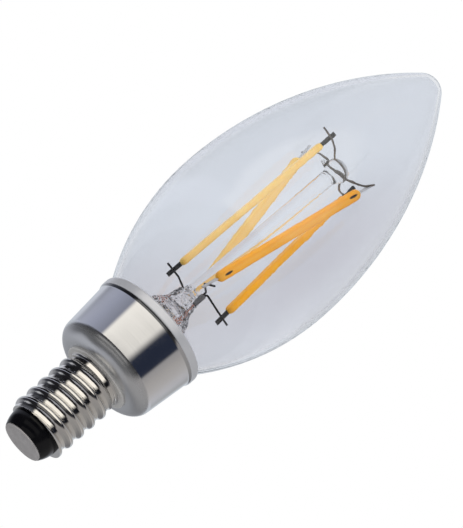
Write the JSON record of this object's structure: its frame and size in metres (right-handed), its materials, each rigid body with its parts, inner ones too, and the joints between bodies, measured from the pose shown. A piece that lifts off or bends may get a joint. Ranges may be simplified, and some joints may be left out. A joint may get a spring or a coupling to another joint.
{
  "type": "candle bulb",
  "caption": "Clear candle-shaped lamp with slanted LED filaments round a glass rod, a satin plated collar and a small screw cap.",
  "frame": {"origin": "middle of the centre contact's lower face", "axes": "+Z along the lamp's axis from the cap to the glass tip, -Y towards the front filament"},
  "size_m": [0.035, 0.035, 0.0991],
  "materials": {
    "contact_metal": "satin",
    "insulator_black": "gloss",
    "shell_plating": "polished",
    "collar_plating": "satin",
    "cement": "matt",
    "clear_glass": "clear, polished",
    "stem_glass": "clear, pressed",
    "phosphor": "satin",
    "tab_metal": "dull",
    "lead_metal": "dull",
    "bridge_metal": "dull",
    "sleeve_metal": "dull",
    "seal_copper": "dull",
    "board": "matt",
    "component_black": "matt",
    "capacitor_can": "satin",
    "resistor_coat": "satin",
    "tinned_wire": "satin"
  },
  "bodies": {
    "root": {"centre_contact": "contact_metal", "base_insulator": "insulator_black", "screw_shell": "shell_plating", "collar": "collar_plating", "neck_cement": "cement", "glass_envelope": "clear_glass", "stem": "stem_glass", "exhaust_tube": "stem_glass", "support_rod": "stem_glass", "filament_left": "phosphor", "filament_left_lower_tab": "tab_metal", "filament_left_upper_tab": "tab_metal", "lead_wire_left": "lead_metal", "filament_front": "phosphor", "filament_front_lower_tab": "tab_metal", "filament_front_upper_tab": "tab_metal", "lead_wire_front": "lead_metal", "filament_right": "phosphor", "filament_right_lower_tab": "tab_metal", "filament_right_upper_tab": "tab_metal", "lead_wire_right": "lead_metal", "filament_back": "phosphor", "filament_back_lower_tab": "tab_metal", "filament_back_upper_tab": "tab_metal", "lead_wire_back": "lead_metal", "lead_sleeve_left": "sleeve_metal", "seal_wire_left": "seal_copper", "lead_sleeve_right": "sleeve_metal", "seal_wire_right": "seal_copper", "bridge_wire_front": "bridge_metal", "bridge_wire_back": "bridge_metal", "driver_board": "board", "bridge_rectifier": "component_black", "driver_chip": "component_black", "smoothing_capacitor": "capacitor_can", "fuse_resistor": "resistor_coat", "contact_wire": "tinned_wire", "shell_wire": "tinned_wire"}
  },
  "joints": []
}
